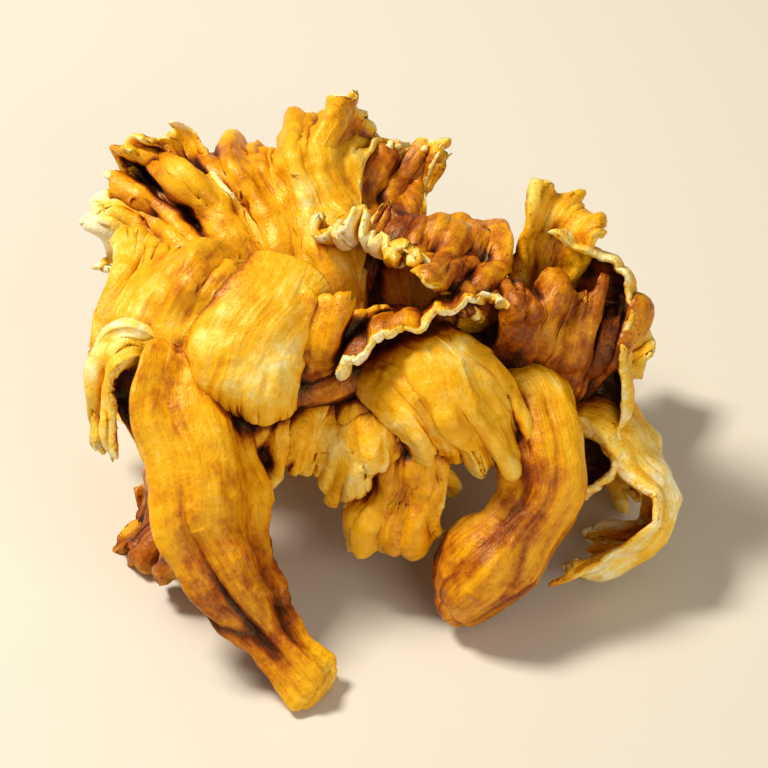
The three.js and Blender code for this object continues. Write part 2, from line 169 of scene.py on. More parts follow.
def stalk_shell(name, stalk):
    """A ribbed oval carried along the stalk's line: the radius runs through the listed ones, times
    the rounding of the ends, times one plus a sine round it, less narrow lengthwise furrows. Each
    end is closed by rings that shrink to a point."""
    seed = len(name)
    rows, sides = stalk["grid"]
    caps = 7
    t = np.linspace(0, 1, rows)
    shrink = np.sqrt(np.linspace(1, 0, caps + 1)[:-1])[::-1]
    shrink[0] = 0.25
    t = np.concatenate([np.zeros(caps), t, np.ones(caps)])[:, None]
    close = np.concatenate([shrink, np.ones(rows), shrink[::-1]])[:, None]
    bulge = np.sqrt(np.clip(1 - close**2, 0, 1)) * np.where(t < 0.5, -1, 1)
    angle = np.arange(sides)[None, :] / sides * 2 * math.pi

    radius = listed_along(stalk["radii"], t)
    near_end = np.clip(np.minimum(t, 1 - t) / stalk["rounding"], 0, 1)
    rounded = stalk["blunt"] + (1 - stalk["blunt"]) * np.sqrt(1 - (1 - near_end) ** 2)
    turn = math.radians(stalk["twist"]) * t + 0.8 * np.sin(2 * angle)
    ridge = stalk["rib"] * np.sin(stalk["ribs"] * angle + turn)

    centre, tangent = bezier(stalk["path"], t)
    normal, side = across_curve(tangent, np.array(stalk["facing"], float))
    length = path_length(stalk["path"])
    around = np.stack(
        [
            radius * np.cos(angle) + 0.04 * length * t,
            radius * np.sin(angle),
            0.16 * length * t + 0 * angle,
        ],
        axis=-1,
    )
    start, stop = stalk["grooved"]
    grooved = ease((t - start) / 0.1) * ease((stop - t) / 0.25)
    grain = creases(around, 1.5, seed)
    fibres = -(0.16 + 0.16 * grooved) * grain - 0.07 * creases(around, 0.6, seed + 1)
    lumps = np.stack([around[..., 0], around[..., 1], length * t + 0 * angle], axis=-1)
    pucker = 0.2 * noise(lumps, 1.9, seed + 2) + 0.08 * creases(lumps, 0.8, seed + 3)
    fine = (fibres + pucker) * ease(1.6 * near_end + 0.3)
    reach = (radius * rounded * (1 + ridge) + fine) * close
    points = (
        centre
        + side * (reach * np.cos(angle))[..., None]
        + normal * (reach * np.sin(angle) * stalk["flat"])[..., None]
        + tangent * (bulge * radius * 0.22 + 0.12 * close * noise(lumps, 0.5, 9))[..., None]
    )
    points = warp(points)
    total = len(t)
    index = np.arange(total * sides).reshape(total, sides)
    after = np.roll(index, -1, axis=1)
    quads = np.stack([index[:-1], after[:-1], after[1:], index[1:]], axis=-1).reshape(-1, 4)
    poles = [points[0].mean(0), points[-1].mean(0)]
    start = np.stack([np.full(sides, total * sides), after[0], index[0]], axis=-1)
    end = np.stack([np.full(sides, total * sides + 1), index[-1], after[-1]], axis=-1)

    # Painted shade: the tone is darkened in the furrows between the fibres and ribs, most where the
    # furrows run deep.
    valley_shade = np.clip(1.5 * grain - 0.3, 0, 1) + 0.4 * np.clip(-ridge / stalk["rib"], 0, 1)
    tone = listed_along(stalk["tones"], t) + stalk["groove_shade"] * valley_shade * (0.25 + 0.75 * grooved)
    tone = tone + 0.12 * noise(lumps, 3.0, seed + 4)
    flow = np.stack([length * t + 0 * angle, angle * 2.2 + 0 * t], axis=-1)
    ends = lambda values: np.concatenate([values.ravel(), [values[0].mean(), values[-1].mean()]])
    return dict(
        points=np.concatenate([points.reshape(-1, 3), poles]),
        quads=quads,
        triangles=np.concatenate([start, end]),
        tone=ends(tone + 0 * angle),
        under=np.full(total * sides + 2, 0.0),
        rim=ends(0 * angle + (1 - near_end) * (t < 0.5) * 0.6),
        flow=np.concatenate([flow.reshape(-1, 2), flow[0, :1], flow[-1, :1]]),
    )


def grown_piece(name, shells, material):
    """One object from closed shells: their points, faces and values are put end to end, and a shell
    that has come out inside out, as its signed volume says, is turned round."""
    points, corners, sizes = [], [], []
    values = {"tone": [], "under": [], "rim": [], "flow": []}
    count = 0
    for shell in shells:
        placed = at_rest(shell["points"])
        quads, triangles = shell["quads"], shell["triangles"]
        halves = np.concatenate([quads[:, [0, 1, 2]], quads[:, [0, 2, 3]], triangles])
        a, b, c = (placed[halves[:, i]] for i in range(3))
        if (a * np.cross(b, c)).sum() < 0:
            quads, triangles = quads[:, ::-1], triangles[:, ::-1]
        points.append(placed)
        corners += [(quads + count).ravel(), (triangles + count).ravel()]
        sizes += [np.full(len(quads), 4), np.full(len(triangles), 3)]
        count += len(placed)
        for key in values:
            values[key].append(shell[key])
    points, corners, sizes = (np.concatenate(part) for part in (points, corners, sizes))
    mesh = bpy.data.meshes.new(name)
    mesh.vertices.add(len(points))
    mesh.vertices.foreach_set("co", points.astype(np.float32).ravel())
    mesh.loops.add(len(corners))
    mesh.loops.foreach_set("vertex_index", corners.astype(np.int32))
    mesh.polygons.add(len(sizes))
    starts = np.concatenate([[0], np.cumsum(sizes)[:-1]])
    mesh.polygons.foreach_set("loop_start", starts.astype(np.int32))
    mesh.update(calc_edges=True)
    mesh.polygons.foreach_set("use_smooth", np.ones(len(sizes), bool))
    for key in ("tone", "under", "rim"):
        layer = mesh.attributes.new(key, "FLOAT", "POINT")
        layer.data.foreach_set("value", np.concatenate(values[key]).astype(np.float32))
    flow = np.concatenate(values["flow"])[corners]
    mesh.uv_layers.new(name="flow").data.foreach_set("uv", flow.astype(np.float32).ravel())
    mesh.validate()
    mesh.materials.append(material)
    piece = bpy.data.objects.new(name, mesh)
    bpy.context.scene.collection.objects.link(piece)
    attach(piece, "root")
    return piece


def node(tree, kind, inputs=None, **settings):
    """Adds one shader node, sets its own settings, and sets or links its named inputs."""
    made = tree.nodes.new(kind)
    for key, value in settings.items():
        setattr(made, key, value)
    for key, value in (inputs or {}).items():
        if isinstance(value, bpy.types.NodeSocket):
            tree.links.new(value, made.inputs[key])
        else:
            made.inputs[key].default_value = value
    return made


def calc(tree, operation, first, second=0.0, third=0.0):
    """The output of a Math node on up to three sockets or numbers."""
    made = node(tree, "ShaderNodeMath", {0: first, 1: second, 2: third}, operation=operation)
    return made.outputs[0]


def linear(code):
    """A colour code such as C8860D as linear red, green, blue and a full alpha."""
    parts = np.array([int(code[i : i + 2], 16) / 255 for i in (0, 2, 4)])
    parts = np.where(parts <= 0.04045, parts / 12.92, ((parts + 0.055) / 1.055) ** 2.4)
    return (*parts, 1.0)


def ramp(tree, value, stops):
    """A Color Ramp on value with a colour code at each place."""
    made = node(tree, "ShaderNodeValToRGB", {"Fac": value})
    band = made.color_ramp
    while len(band.elements) < len(stops):
        band.elements.new(0.5)
    for element, (place, code) in zip(band.elements, stops):
        element.position = place
        element.color = linear(code)
    return made.outputs["Color"]


def cloudy(tree, place, scale, detail, roughness):
    """The output of a Noise Texture on place."""
    inputs = {"Vector": place, "Scale": scale, "Detail": detail, "Roughness": roughness}
    return node(tree, "ShaderNodeTexNoise", inputs).outputs["Fac"]


# How dried flesh looks all over the piece. Its tone runs from cream through gold and amber to a
# dark red-brown. Fibres run out to the margin, pores cover the underside, and brown specks and
# blotches gather near the margin.
flesh = bpy.data.node_groups.new("dried_flesh_look", "ShaderNodeTree")
given_at_first = {"Tone": 0.4, "Under": 0.0, "Rim": 0.0, "Streaks": 0.2, "Blotches": 0.3}
for name, value in given_at_first.items():
    socket = flesh.interface.new_socket(name, in_out="INPUT", socket_type="NodeSocketFloat")
    socket.default_value = value
flesh.interface.new_socket("Colour", in_out="OUTPUT", socket_type="NodeSocketColor")
flesh.interface.new_socket("Roughness", in_out="OUTPUT", socket_type="NodeSocketFloat")
flesh.interface.new_socket("Height", in_out="OUTPUT", socket_type="NodeSocketFloat")
given = node(flesh, "NodeGroupInput").outputs
place = node(flesh, "ShaderNodeTexCoord").outputs["Object"]
along = node(flesh, "ShaderNodeUVMap", uv_map="flow").outputs["UV"]
drawn_out = node(flesh, "ShaderNodeMapping", {"Vector": along, "Scale": (0.3, 2.6, 1.0)}).outputs[0]
streak = cloudy(flesh, drawn_out, 1.0, 4.0, 0.65)
streak = calc(flesh, "MULTIPLY_ADD", calc(flesh, "SUBTRACT", streak, 0.5), 2.0, 0.0)
patch = cloudy(flesh, place, 330.0, 3.0, 0.6)
mottle = cloudy(flesh, place, 1150.0, 4.0, 0.7)
grit = cloudy(flesh, place, 4200.0, 2.0, 0.6)
pores = node(flesh, "ShaderNodeTexVoronoi", {"Vector": place, "Scale": 3300.0}).outputs["Distance"]
blotch = calc(flesh, "SUBTRACT", patch, 0.5)
tone = calc(flesh, "MULTIPLY_ADD", blotch, given["Blotches"], given["Tone"])
tone = calc(flesh, "MULTIPLY_ADD", calc(flesh, "SUBTRACT", mottle, 0.5), 0.55, tone)
tone = calc(flesh, "MULTIPLY_ADD", streak, given["Streaks"], tone)
speck = calc(flesh, "GREATER_THAN", grit, 0.63)
speck = calc(flesh, "MULTIPLY", speck, calc(flesh, "MULTIPLY_ADD", given["Rim"], 0.8, 0.1))
tone = calc(flesh, "MULTIPLY_ADD", speck, 0.4, tone)
colour = ramp(
    flesh,
    tone,
    [
        (0.00, "FCEFC4"),
        (0.14, "F8D66E"),
        (0.30, "F5B81C"),
        (0.45, "E6A108"),
        (0.58, "C87904"),
        (0.72, "984403"),
        (0.86, "5C2202"),
        (1.00, "290D01"),
    ],
)
warmth = calc(flesh, "MULTIPLY_ADD", blotch, 1.6, 0.3)
warm = node(
    flesh,
    "ShaderNodeHueSaturation",
    {"Hue": 0.492, "Saturation": 1.1, "Value": 0.97, "Fac": warmth, "Color": colour},
).outputs["Color"]
rough = calc(flesh, "MULTIPLY_ADD", mottle, 0.4, 0.2)
rough = calc(flesh, "MULTIPLY_ADD", given["Under"], 0.12, rough)
height = calc(flesh, "MULTIPLY_ADD", streak, 0.5, mottle)
height = calc(flesh, "MULTIPLY_ADD", grit, 0.3, height)
height = calc(flesh, "MULTIPLY_ADD", calc(flesh, "MULTIPLY", pores, given["Under"]), 0.5, height)
node(flesh, "NodeGroupOutput", {"Colour": warm, "Roughness": rough, "Height": height})


def flesh_material(name, streaks, blotches, gloss, relief):
    """Dried flesh with its own strength of streaks and blotches, gloss, and depth of relief."""
    material = bpy.data.materials.new(name)
    material.use_nodes = True
    tree = material.node_tree
    tree.nodes.clear()
    read = {
        key: node(tree, "ShaderNodeAttribute", attribute_name=key).outputs["Fac"]
        for key in ("tone", "under", "rim")
    }
    look = node(tree, "ShaderNodeGroup", node_tree=flesh)
    for key, value in (("Tone", read["tone"]), ("Under", read["under"]), ("Rim", read["rim"])):
        tree.links.new(value, look.inputs[key])
    look.inputs["Streaks"].default_value = streaks
    look.inputs["Blotches"].default_value = blotches
    bump = node(
        tree,
        "ShaderNodeBump",
        {"Height": look.outputs["Height"], "Distance": relief, "Strength": 0.8},
    )
    skin = node(
        tree,
        "ShaderNodeBsdfPrincipled",
        {
            "Base Color": look.outputs["Colour"],
            "Roughness": look.outputs["Roughness"],
            "Normal": bump.outputs["Normal"],
            "Specular IOR Level": gloss,
            "Specular Tint": (1.0, 0.84, 0.45, 1.0),
            "Subsurface Weight": 0.12,
            "Subsurface Radius": (1.0, 0.55, 0.2),
            "Subsurface Scale": 0.0006,
        },
    )
    node(tree, "ShaderNodeOutputMaterial", {"Surface": skin.outputs["BSDF"]})
    return material


stem_flesh = flesh_material("stem_flesh", 0.26, 0.28, 0.5, 0.00016)
stalk_shells = [stalk_shell(name, stalk) for name, stalk in stalks.items()]
stem = grown_piece("stem_and_core", stalk_shells, stem_flesh)
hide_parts("dried_maitake")

# Hood, ear and side flap. The hood is the broad golden fan that the stem runs out into, the ear
# folds over its right edge and rolls down in front, and the flap hangs at its left. Each is one
# thin frond of the same flesh, fused to the core at its root. Sizes are in mm, angles in degrees.
hood_fronds = {
    "hood": dict(
        path=((-11.6, 10.4, 8.8), (-13.6, 9.8, 13.0), (-13.2, 13.2, 18.0), (-9.6, 18.6, 18.8)),
        facing=((-0.2, -0.9, 0.4), (0.0, -0.45, 0.9)), root=2.4, spread=18, flare=0.05, skew=0.08,
        cup=-70, ruffle=0.5, waves=1.6, fold=0.12, folds=2, lobes=3, notch=0.1, lip=-50,
        lip_at=0.7, seed=3, crumple=1.0, frill=1.0, wrinkle=1.2,
        patchy=0.06, tones=(0.44, 0.35), under=(0.36, 0.22), edge=0.1, grid=(110, 110),
    ),
    # The ear's margin tone of 0.95 is painted shadow: a dark line along its edge for the shade in
    # the crease where it lies on the hood.
    "hood_ear": dict(
        path=((-6.4, 16.6, 17.2), (-7.0, 12.2, 18.6), (-9.4, 9.2, 15.8), (-9.8, 8.2, 10.8)),
        facing=((0.2, -0.6, 0.9), (-0.1, -0.95, 0.2)), root=2.6, spread=11, flare=-0.08, skew=0.05,
        cup=-90, ruffle=0.22, waves=1.4, fold=0.1, folds=2, lobes=2, notch=0.05, lip=-95,
        lip_at=0.68, seed=8, crumple=0.9, frill=0.5, wrinkle=1.0,
        patchy=0.0, tones=(0.25, 0.27), under=(0.6, 0.5), edge=0.95, grid=(100, 100),
    ),
    "side_flap": dict(
        path=((-13.4, 12.6, 13.6), (-15.8, 12.4, 15.2), (-17.0, 11.4, 12.6), (-15.8, 9.9, 8.8)),
        facing=((-0.5, -0.7, 0.5), (-0.75, -0.65, 0.1)), root=1.5, spread=-4, flare=0.0, skew=0.0,
        cup=20, ruffle=0.5, waves=1.2, fold=0.25, folds=2, lobes=2, notch=0.15, lip=30,
        lip_at=0.68, seed=5, crumple=1.0, frill=1.0, wrinkle=1.0,
        patchy=0.0, tones=(0.24, 0.14), under=(0.3, 0.2), edge=0.12, grid=(80, 60),
    ),
}


notch_sharpness = 0.6
raggedness = 0.35
tear_depth = 0.05
root_thickness = 1.5
margin_thickness = 0.42
margin_rounding = 0.3
relief_fade = 0.35
rim_width = 0.45


def arc(distance, angle):
    """How far forward and how far up a strip ends that turns evenly by angle over distance: the
    distance times sin(a)/a, and times sin(a/2) times sin(a/2)/(a/2)."""
    whole = np.sinc(angle / math.pi)
    return distance * whole, distance * np.sin(angle / 2) * np.sinc(angle / (2 * math.pi))


def frond_middle(f, u, v):
    """The middle surface of a frond, from its root at u 0 to its margin at u 1 and from side to
    side as v runs from -1 to 1. A flat fan of lobes is rolled over at its lip and across its width,
    waved and folded, and carried along the frond's line. Returns points, and flow: mm along and
    across."""
    seed = f["seed"]
    length = path_length(f["path"])

    def scallop(count, which):
        wave = np.abs(np.cos(v * count * math.pi * 0.5 + phase(seed, which)))
        return 1 - wave**notch_sharpness

    lobing = 0.65 * scallop(f["lobes"], 1) + 0.5 * scallop(f["lobes"] * 1.7, 2)
    flat = np.stack([v * length * 0.5 + 0 * u, 0 * v + 0 * u + seed, 0 * v + 0 * u], axis=-1)
    ragged = raggedness * u**3 * (noise(flat, 0.8, 3) - 0.5 * creases(flat, 0.45, 4)) / length
    tears = tear_depth * u**4 * np.clip(creases(flat, 2.1, 5) - 0.72, 0, 1) * 3.5
    outline = 1 + f["flare"] * v * v + f["skew"] * v - f["notch"] * u * lobing + ragged - tears
    size = length * outline

    past = np.maximum(0, u - f["lip_at"])
    forward, lift = arc(past, math.radians(f["lip"]) * past / (1 - f["lip_at"]))
    reach = size * (np.minimum(u, f["lip_at"]) + forward)
    angle = v * math.radians(f["spread"])
    along = reach * np.cos(angle) / length
    across = f["root"] * v + reach * np.sin(angle)
    widest = f["root"] + length * max(0, math.sin(math.radians(f["spread"])))
    sideways, rise = arc(across, math.radians(f["cup"]) * across / widest)

    def wave(count, which, drift):
        return np.sin(v * count * f["waves"] * math.pi + phase(seed, which) + drift * u)

    finer = 0.4 * wave(1.73, 4, -1.4) + 0.3 * wave(2.9, 5, 2.0)
    ruffle = f["ruffle"] * u * (0.7 * wave(1, 3, 0.9) + finer * u)
    bend = 2.4 * np.sin(1.7 * v + phase(seed, 6))
    fold = f["fold"] * u * np.sin(u * f["folds"] * 2 * math.pi + bend)
    height = rise + size * lift + ruffle + fold

    t = np.clip(along, 0, 1)
    centre, tangent = bezier(f["path"], t)
    first, last = (np.array(way, float) for way in f["facing"])
    facing = first + (last - first) * ease(t)[..., None]
    normal, side = across_curve(tangent, facing)
    past_end = tangent * ((along - t) * length)[..., None]
    points = centre + past_end + side * sideways[..., None] + normal * height[..., None]
    return warp(points), np.stack([reach, across], axis=-1)


def grid_normals(points):
    """Unit normals of a grid of points: the step along the rows crossed with the step down them."""
    return unit(np.cross(np.gradient(points, axis=1), np.gradient(points, axis=0)))


def frond_shell(f):
    """A frond with its two faces. The middle surface crumples along its own normal by noise at two
    sizes, and frills at two finer ones more and more towards the margin. Half the thickness goes
    to each side of it, thin at the margin and rounded off there, and each face has wrinkles of its
    own that run outwards."""
    seed = f["seed"]
    rows, columns = f["grid"]
    u = np.linspace(0, 1, rows + 1)[:, None]
    v = np.linspace(-1, 1, columns + 1)[None, :]
    smooth, flow = frond_middle(f, u, v)
    normal = grid_normals(smooth)
    sides = np.stack([flow[..., 1] * 1.0, flow[..., 0] * 0.22, 0 * u * v + seed], axis=-1)
    grown = ease(2.5 * u)
    crumple = 0.3 * noise(smooth, 2.6, 21) + 0.14 * creases(smooth, 1.5, 22)
    frill = u**3 * (0.5 * noise(sides, 1.25, 23) + 0.16 * creases(sides, 0.8, 24))
    middle = smooth + normal * (crumple * grown * f["crumple"] + frill * f["frill"])[..., None]
    normal = grid_normals(middle)

    margin = (1 - u) * flow[-1:, :, 0] + 0 * v
    edge = np.minimum(flow[:, -1:, 1] - flow[..., 1], flow[..., 1] - flow[:, :1, 1])
    inside = np.maximum(np.minimum(margin, np.maximum(edge, 0)), 0)
    rounding = np.sqrt(np.clip(1 - (1 - np.clip(inside / margin_rounding, 0, 1)) ** 2, 0.03, 1))
    thick = root_thickness + (margin_thickness - root_thickness) * ease(np.minimum(u * 1.3, 1))
    half = 0.5 * thick * rounding

    fade = ease(inside / relief_fade)
    faces, tones = [], []
    for under in (0, 1):
        kind = 31 + 10 * under
        broad, fine = creases(sides, 0.95, kind + seed), creases(sides, 0.42, kind + seed + 1)
        wrinkle = broad * 0.5 + fine * 0.25
        pucker = noise(middle, 0.8, kind + 2)
        relief = f["wrinkle"] * (0.17 * wrinkle + 0.08 * pucker) * (0.3 + 0.7 * grown)
        shift = (half + relief * fade) * (1 - 2 * under)
        faces.append(middle + normal * shift[..., None])
        root, tip = f["under"] if under else f["tones"]
        tone = root + (tip - root) * ease(u * 1.15) + 0 * v
        # Painted shade and light: the tone is darkened in the wrinkles' valleys and lightened on
        # their ridges.
        tone = tone + 0.42 * np.clip(-wrinkle - 0.1, 0, 1) - 0.1 * np.clip(wrinkle, 0, 1)
        tone = tone + 0.16 * noise(middle, 2.9, kind + 3)
        tone = tone + f["patchy"] * ease(0.5 + noise(middle, 4.2, seed + under))
        tones.append(tone)
    rim = np.exp(-inside / rim_width)
    broken = ease(0.75 + 0.9 * noise(middle, 1.6, seed + 5))
    tones = [tone + (f["edge"] - tone) * np.clip(rim * broken * 1.15, 0, 1) for tone in tones]

    index = np.arange((rows + 1) * (columns + 1)).reshape(rows + 1, columns + 1)
    top = np.stack([index[:-1, :-1], index[1:, :-1], index[1:, 1:], index[:-1, 1:]], axis=-1)
    top = top.reshape(-1, 4)
    loop = np.concatenate([index[0, :-1], index[:-1, -1], index[-1, :0:-1], index[:0:-1, 0]])
    after = np.roll(loop, -1)
    band = np.stack([loop, after, after + index.size, loop + index.size], axis=-1)
    twice = lambda values: np.concatenate([values.ravel(), values.ravel()])
    return dict(
        points=np.concatenate([face.reshape(-1, 3) for face in faces]),
        quads=np.concatenate([top, top[:, ::-1] + index.size, band]),
        triangles=np.zeros((0, 3), int),
        tone=np.concatenate([tone.ravel() for tone in tones]),
        under=np.concatenate([np.zeros(index.size), np.ones(index.size)]),
        rim=twice(rim + 0 * u * v),
        flow=np.concatenate([flow.reshape(-1, 2)] * 2),
    )


def frond_group(name, fronds, material):
    """One object from all the fronds of a group."""
    return grown_piece(name, [frond_shell(f) for f in fronds.values()], material)


gold_frond = flesh_material("gold_frond", 0.16, 0.34, 0.55, 0.00014)
hood_group = frond_group("hood_fronds", hood_fronds, gold_frond)

# Brown cap and the frond under it. The cap is the dark, much wrinkled skin that lies over the
# middle of the piece and curls up along its front edge, where its cream underside shows.
cap_fronds = {
    "brown_cap": dict(
        path=((2.6, 19.5, 10.5), (3.6, 25.0, 15.5), (1.6, 21.5, 19.6), (-1.4, 14.0, 17.2)),
        facing=((0.0, 0.9, 0.2), (0.0, -0.5, 0.86)), root=2.4, spread=15, flare=0.0, skew=-0.05,
        cup=-45, ruffle=0.55, waves=2.6, fold=0.5, folds=3.6, lobes=4, notch=0.1, lip=75,
        lip_at=0.88, seed=11, crumple=1.0, frill=1.0, wrinkle=1.6,
        patchy=0.1, tones=(0.58, 0.62), under=(0.3, 0.12), edge=0.1, grid=(140, 140),
    ),
    "under_cap": dict(
        path=((0.6, 16.5, 10.5), (1.4, 18.0, 14.8), (2.0, 15.0, 16.8), (2.2, 11.4, 15.8)),
        facing=((0.0, 0.7, 0.6), (0.0, -0.5, 0.86)), root=2.4, spread=22, flare=0.0, skew=0.1,
        cup=-35, ruffle=0.55, waves=2.2, fold=0.2, folds=2.6, lobes=4, notch=0.1, lip=80,
        lip_at=0.85, seed=21, crumple=1.0, frill=1.0, wrinkle=1.0,
        patchy=0.0, tones=(0.55, 0.58), under=(0.3, 0.12), edge=0.06, grid=(90, 110),
    ),
}
brown_frond = flesh_material("brown_frond", 0.22, 0.4, 0.6, 0.00018)
cap_group = frond_group("cap_fronds", cap_fronds, brown_frond)

# Middle fronds: the bulging golden lobe, the fold behind it, the frill whose cream underside faces
# forwards, and the small lobes that hang from it. They crumpled together below the cap.
middle_fronds = {
    "olive_fold": dict(
        path=((-3.6, 15.6, 9.8), (-4.6, 13.2, 11.6), (-4.8, 12.2, 14.4), (-3.8, 14.2, 17.6)),
        facing=((0.1, -0.8, 0.5), (0.3, -0.9, 0.2)), root=2.4, spread=12, flare=0.0, skew=0.0,
        cup=-40, ruffle=0.4, waves=1.6, fold=0.2, folds=2, lobes=2, notch=0.1, lip=-30,
        lip_at=0.68, seed=13, crumple=1.0, frill=1.0, wrinkle=1.0,
        patchy=0.0, tones=(0.58, 0.48), under=(0.5, 0.4), edge=0.3, grid=(70, 70),
    ),
    "gold_lobe": dict(
        path=((-1.2, 15.8, 12.4), (0.8, 10.8, 15.6), (4.0, 7.4, 12.6), (4.0, 7.6, 7.4)),
        facing=((0.0, -0.6, 0.8), (0.1, -0.98, 0.1)), root=2.8, spread=12, flare=0.05, skew=0.0,
        cup=-85, ruffle=0.7, waves=2.4, fold=0.25, folds=2.5, lobes=3, notch=0.12, lip=-50,
        lip_at=0.68, seed=31, crumple=1.0, frill=1.2, wrinkle=1.3,
        patchy=0.06, tones=(0.22, 0.22), under=(0.4, 0.3), edge=0.3, grid=(110, 120),
    ),
    "cream_frill": dict(
        path=((-2.0, 15.5, 9.0), (-2.8, 12.0, 12.4), (-3.8, 9.0, 11.0), (-4.2, 7.6, 7.0)),
        facing=((0.0, 0.5, -0.85), (-0.1, 0.85, -0.4)), root=1.8, spread=32, flare=0.1, skew=0.1,
        cup=40, ruffle=0.75, waves=2.0, fold=0.15, folds=2, lobes=4, notch=0.12, lip=60,
        lip_at=0.75, seed=17, crumple=1.5, frill=2.2, wrinkle=1.4,
        patchy=0.3, tones=(0.48, 0.46), under=(0.26, 0.1), edge=0.06, grid=(90, 140),
    ),
    "hanging_lobes": dict(
        path=((0.0, 12.5, 9.0), (0.2, 8.8, 9.6), (-1.0, 7.0, 6.6), (-1.4, 6.8, 3.2)),
        facing=((0.0, -0.5, 0.9), (-0.2, -0.95, 0.0)), root=1.4, spread=13, flare=0.0, skew=0.1,
        cup=-70, ruffle=0.4, waves=1.4, fold=0.2, folds=2.4, lobes=3, notch=0.2, lip=-40,
        lip_at=0.68, seed=19, crumple=1.5, frill=2.0, wrinkle=1.0,
        patchy=0.0, tones=(0.45, 0.42), under=(0.4, 0.3), edge=0.12, grid=(80, 90),
    ),
}
middle_group = frond_group("middle_fronds", middle_fronds, gold_frond)

# Right fronds: a small lobe at the top, a dark frond in the hollow, and the wide one at the right
# that curls round it with a pale rim.
right_fronds = {
    "top_right_lobe": dict(
        path=((6.6, 17.0, 10.5), (7.2, 19.0, 14.5), (8.2, 20.6, 17.2), (10.4, 20.6, 18.4)),
        facing=((0.2, -0.9, 0.2), (-0.2, -0.5, 0.9)), root=1.6, spread=9, flare=0.0, skew=0.1,
        cup=75, ruffle=0.35, waves=1.4, fold=0.2, folds=2, lobes=2, notch=0.12, lip=-80,
        lip_at=0.68, seed=23, crumple=1.0, frill=1.5, wrinkle=1.0,
        patchy=0.0, tones=(0.4, 0.34), under=(0.35, 0.25), edge=0.2, grid=(70, 70),
    ),
    "dark_frond": dict(
        path=((6.0, 16.5, 9.0), (8.8, 12.0, 12.0), (10.4, 12.6, 15.4), (9.6, 16.6, 17.4)),
        facing=((0.3, -0.95, 0.2), (0.4, -0.6, 0.7)), root=2.2, spread=14, flare=0.0, skew=-0.1,
        cup=-50, ruffle=0.6, waves=2.4, fold=0.3, folds=2.6, lobes=4, notch=0.12, lip=-50,
        lip_at=0.68, seed=29, crumple=1.0, frill=1.5, wrinkle=1.3,
        patchy=0.1, tones=(0.72, 0.7), under=(0.5, 0.4), edge=0.45, grid=(90, 90),
    ),
    "rim_frond": dict(
        path=((7.4, 17.4, 8.6), (10.0, 17.0, 9.2), (12.4, 15.8, 10.0), (14.0, 12.8, 11.2)),
        facing=((0.0, -0.755, 0.656), (-0.6, -0.6, 0.5)), root=1.6, spread=70, flare=0.1,
        skew=0.05, cup=56, ruffle=0.45, waves=2.0, fold=0.12, folds=2, lobes=4, notch=0.05, lip=60,
        lip_at=0.68, seed=37, crumple=1.0, frill=1.0, wrinkle=1.0,
        patchy=0.0, tones=(0.74, 0.58), under=(0.4, 0.25), edge=0.08, grid=(90, 170),
    ),
    "rim_curl": dict(
        path=((8.6, 15.6, 8.4), (13.4, 14.0, 11.0), (17.6, 9.6, 4.4), (9.6, 8.6, 0.8)),
        facing=((0.1, 0.3, 0.95), (0.4, -0.35, -0.85)), root=1.8, spread=5, flare=0.0, skew=0.05,
        cup=-35, ruffle=0.45, waves=1.6, fold=0.2, folds=2.5, lobes=3, notch=0.08, lip=-40,
        lip_at=0.8, seed=73, crumple=1.3, frill=1.4, wrinkle=1.0,
        patchy=0.0, tones=(0.3, 0.18), under=(0.62, 0.46), edge=0.04, grid=(130, 80),
    ),
}
right_group = frond_group("right_fronds", right_fronds, brown_frond)

# Crown: three wavy fronds that stand up behind the hood and the cap.
crown_fronds = {
    "crown_left": dict(
        path=((-7.0, 15.6, 10.0), (-10.0, 18.4, 15.0), (-13.0, 22.6, 17.0), (-16.2, 25.8, 15.8)),
        facing=((0.3, -0.8, 0.5), (-0.3, -0.5, 0.8)), root=1.8, spread=13, flare=-0.05, skew=0.0,
        cup=-40, ruffle=0.9, waves=2.2, fold=0.45, folds=3, lobes=4, notch=0.14, lip=60,
        lip_at=0.8, seed=41, crumple=1.4, frill=2.0, wrinkle=1.0,
        patchy=0.3, tones=(0.26, 0.06), under=(0.5, 0.35), edge=0.03, grid=(90, 100),
    ),
    "crown": dict(
        path=((-4.2, 16.8, 10.0), (-5.8, 20.0, 15.4), (-7.4, 25.2, 18.2), (-8.6, 30.4, 17.2)),
        facing=((0.0, -0.95, 0.3), (-0.1, -0.45, 0.9)), root=2.2, spread=19, flare=0.04, skew=0.0,
        cup=-30, ruffle=1.0, waves=2.6, fold=0.45, folds=3, lobes=5, notch=0.12, lip=-70,
        lip_at=0.75, seed=43, crumple=1.3, frill=1.8, wrinkle=1.3,
        patchy=0.16, tones=(0.32, 0.26), under=(0.4, 0.3), edge=0.1, grid=(110, 120),
    ),
    "crown_loop": dict(
        path=((-1.0, 18.0, 10.5), (-2.0, 22.0, 14.6), (-1.8, 26.6, 16.6), (-0.6, 29.6, 15.2)),
        facing=((0.1, -0.9, 0.4), (0.3, -0.2, 0.9)), root=1.8, spread=13, flare=-0.06, skew=0.0,
        cup=55, ruffle=0.7, waves=1.8, fold=0.4, folds=2.4, lobes=3, notch=0.1, lip=70,
        lip_at=0.82, seed=47, crumple=1.3, frill=1.8, wrinkle=1.0,
        patchy=0.0, tones=(0.6, 0.62), under=(0.3, 0.12), edge=0.03, grid=(90, 90),
    ),
}
crown_group = frond_group("crown_fronds", crown_fronds, gold_frond)

